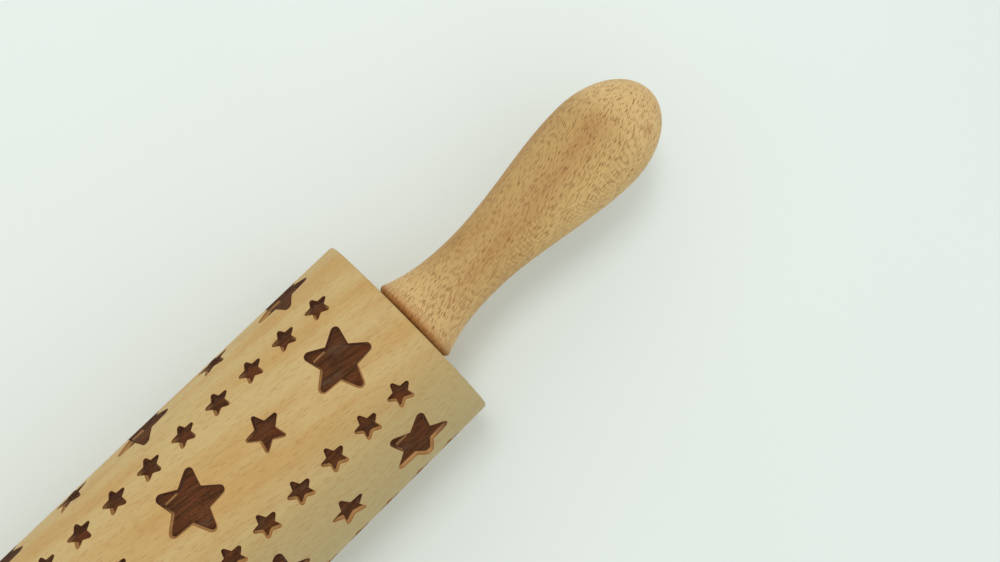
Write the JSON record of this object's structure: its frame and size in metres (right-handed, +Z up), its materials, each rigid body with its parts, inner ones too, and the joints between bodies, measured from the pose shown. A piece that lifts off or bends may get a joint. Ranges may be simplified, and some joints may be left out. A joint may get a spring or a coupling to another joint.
{
  "type": "embossing rolling pin",
  "caption": "Wooden rolling pin whose free-turning roller is engraved all round with rows of stars, with a turned handle at each end of its axle.",
  "frame": {"origin": "on the table, straight below the middle of the roller's axis", "axes": "+X along the pin's axis, +Z up from the table, +Y across"},
  "size_m": [0.44, 0.06, 0.06],
  "materials": {
    "roller_beech": "sanded pale beech, bare, with dark burnt engraving",
    "handle_beech": "turned and sanded beech with short brown ray flecks",
    "rod_steel": "bright drawn steel",
    "nut_zinc": "zinc-plated steel",
    "insert_brass": "turned brass",
    "bush_nylon": "natural moulded nylon"
  },
  "bodies": {
    "axle_and_handles": {"axle_rod": "rod_steel", "thrust_washer_right": "rod_steel", "thrust_washer_left": "rod_steel", "jam_nut_right": "nut_zinc", "jam_nut_left": "nut_zinc", "threaded_insert_right": "insert_brass", "threaded_insert_left": "insert_brass", "handle_right": "handle_beech", "handle_left": "handle_beech"},
    "roller": {"roller": "roller_beech", "bush_right": "bush_nylon", "bush_left": "bush_nylon"}
  },
  "joints": [
    {"name": "roller_spin", "type": "hinge", "parent": "axle_and_handles", "child": "roller", "pos_m": [0, 0, 0.03], "axis": [1, 0, 0], "continuous": true}
  ]
}
